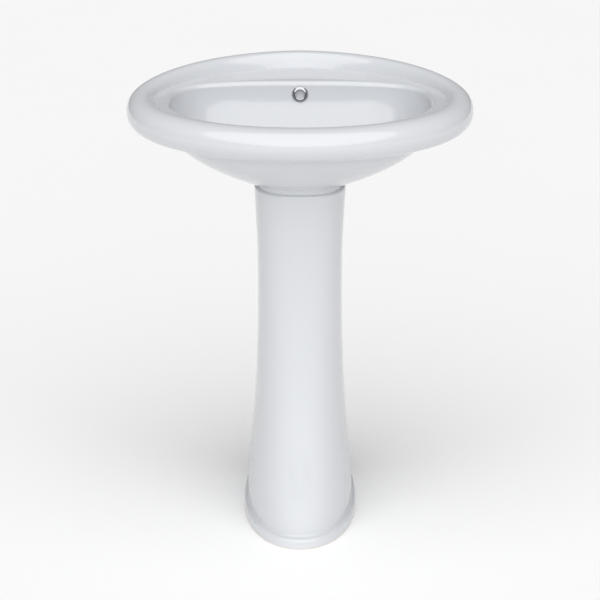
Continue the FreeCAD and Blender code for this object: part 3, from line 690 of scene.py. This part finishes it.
def turnedBrass():
    m = Finish("turnedBrass")
    rings = m.add("ShaderNodeTexWave", {"wave_type": "BANDS", "bands_direction": "Z"},
                  {"Vector": m.place, "Scale": 900.0, "Distortion": 1.5}, "Fac")
    colour = m.colours(m.noise(45.0), (0.62, 0.43, 0.17), (0.78, 0.58, 0.27))
    return m.use(Base_Color=colour, Metallic=1.0, Roughness=0.24 + 0.16 * m.noise(120.0),
                 Normal=m.bump(rings, 0.12, 0.0002))


def rubber(name, low, high):
    m = Finish(name)
    return m.use(Base_Color=m.colours(m.noise(60.0), low, high),
                 Roughness=0.58 + 0.2 * m.noise(200.0),
                 Normal=m.bump(m.noise(1400.0, 5.0), 0.25, 0.0002))


def mouldedPlastic():
    m = Finish("mouldedPlastic")
    return m.use(Base_Color=m.colours(m.noise(30.0), (0.74, 0.74, 0.72), (0.80, 0.80, 0.78)),
                 Roughness=0.34 + 0.12 * m.noise(90.0),
                 Normal=m.bump(m.noise(1100.0, 4.0), 0.12, 0.0002))


def springWire():
    m = Finish("springWire")
    return m.use(Base_Color=m.colours(m.noise(150.0), (0.42, 0.43, 0.44), (0.56, 0.57, 0.58)),
                 Metallic=1.0, Roughness=0.22 + 0.15 * m.noise(260.0),
                 Normal=m.bump(m.noise(1800.0), 0.1, 0.0001))


print("stage: finishes")
finishes = {
    "china": glazedChina(),
    "chrome": chromePlate(),
    "brass": turnedBrass(),
    "white_rubber": rubber("whiteRubber", (0.60, 0.60, 0.58), (0.70, 0.70, 0.68)),
    "black_rubber": rubber("blackRubber", (0.018, 0.018, 0.019), (0.035, 0.035, 0.036)),
    "white_plastic": mouldedPlastic(),
    "spring_steel": springWire(),
}
for part in frame["record"]["subparts"]:
    node = frame["nodes"][part["node"]]
    node.data.materials.clear()
    node.data.materials.append(finishes[part["material_slot"]])

for pieces, node in ((basinParts, "basin"), (columnParts, "pedestal")):
    for piece in pieces:
        piece.data.materials.append(finishes["china"])
        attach(piece, "sink")
        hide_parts(node)

# the spring wire stands in for the plug's spring; its foot sits in the cartridge and it stays where
# it is built
springPiece.data.materials.append(finishes["spring_steel"])
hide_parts("plug_spring")
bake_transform(springPiece)

studio = {
    "cameraDistance": 3.0, "cameraHeight": 1.634, "cameraPitch": 21.88,
    "lens": 107.28, "floorHalf": 9.0,
    "worldStrength": 0.30, "skyStrength": 2.8, "skySpread": 90.0, "skyLean": 42.0,
    "frontPower": 4.0, "frontPlace": (0.0, -3.6, 1.5), "frontAim": (0.0, 0.0, 0.45),
    "frontSize": (2.6, 2.0), "floorLow": 0.965, "floorHigh": 0.98,
}


def makeFloor():
    half = studio["floorHalf"]
    mesh = bpy.data.meshes.new("floor")
    corners = [(-half, -half, 0), (half, -half, 0), (half, half, 0), (-half, half, 0)]
    mesh.from_pydata([(x, y, -0.0002) for x, y, z in corners], [], [(0, 1, 2, 3)])
    floor = bpy.data.objects.new("floor", mesh)
    bpy.context.scene.collection.objects.link(floor)
    m = Finish("paleFloor")
    mesh.materials.append(m.use(
        Base_Color=m.colours(m.noise(1.5), 3 * (studio["floorLow"],), 3 * (studio["floorHigh"],)),
        Roughness=0.9, Specular_IOR_Level=0.1))


def skyLamp(name, strength, spread):
    # parallel light from above the front, spread wide so that its shadows are soft
    lamp = bpy.data.lights.new(name, "SUN")
    lamp.energy = strength
    lamp.angle = math.radians(spread)
    piece = bpy.data.objects.new(name, lamp)
    bpy.context.scene.collection.objects.link(piece)
    piece.location = (0.0, 0.0, 3.0)
    piece.rotation_euler = (math.radians(studio["skyLean"]), 0.0, 0.0)


def softLamp(name, place, target, size, power):
    # a rectangular soft light turned to face a point
    lamp = bpy.data.lights.new(name, "AREA")
    lamp.shape = "RECTANGLE"
    lamp.size, lamp.size_y = size
    lamp.energy = power
    piece = bpy.data.objects.new(name, lamp)
    bpy.context.scene.collection.objects.link(piece)
    aim = np.array(target) - np.array(place)
    across = math.hypot(aim[0], aim[1])
    piece.location = place
    piece.rotation_euler = (math.atan2(across, -aim[2]), 0.0, math.atan2(-aim[0], aim[1]))


print("stage: floor, light and camera")
makeFloor()
skyLamp("lampAbove", studio["skyStrength"], studio["skySpread"])
softLamp("lampFront", studio["frontPlace"], studio["frontAim"], studio["frontSize"],
         studio["frontPower"])
world = bpy.data.worlds.new("studioWorld")
world.use_nodes = True
world.node_tree.nodes["Background"].inputs["Color"].default_value = (1.0, 1.0, 1.0, 1)
world.node_tree.nodes["Background"].inputs["Strength"].default_value = studio["worldStrength"]
bpy.context.scene.world = world
bpy.context.scene.view_settings.view_transform = "Standard"

camera = bpy.data.cameras.new("camera")
camera.sensor_width = 36.0
camera.lens = studio["lens"]
cameraPiece = bpy.data.objects.new("camera", camera)
bpy.context.scene.collection.objects.link(cameraPiece)
cameraPiece.location = (0.0, -studio["cameraDistance"], studio["cameraHeight"])
cameraPiece.rotation_euler = (math.radians(90.0 - studio["cameraPitch"]), 0.0, 0.0)
bpy.context.scene.camera = cameraPiece
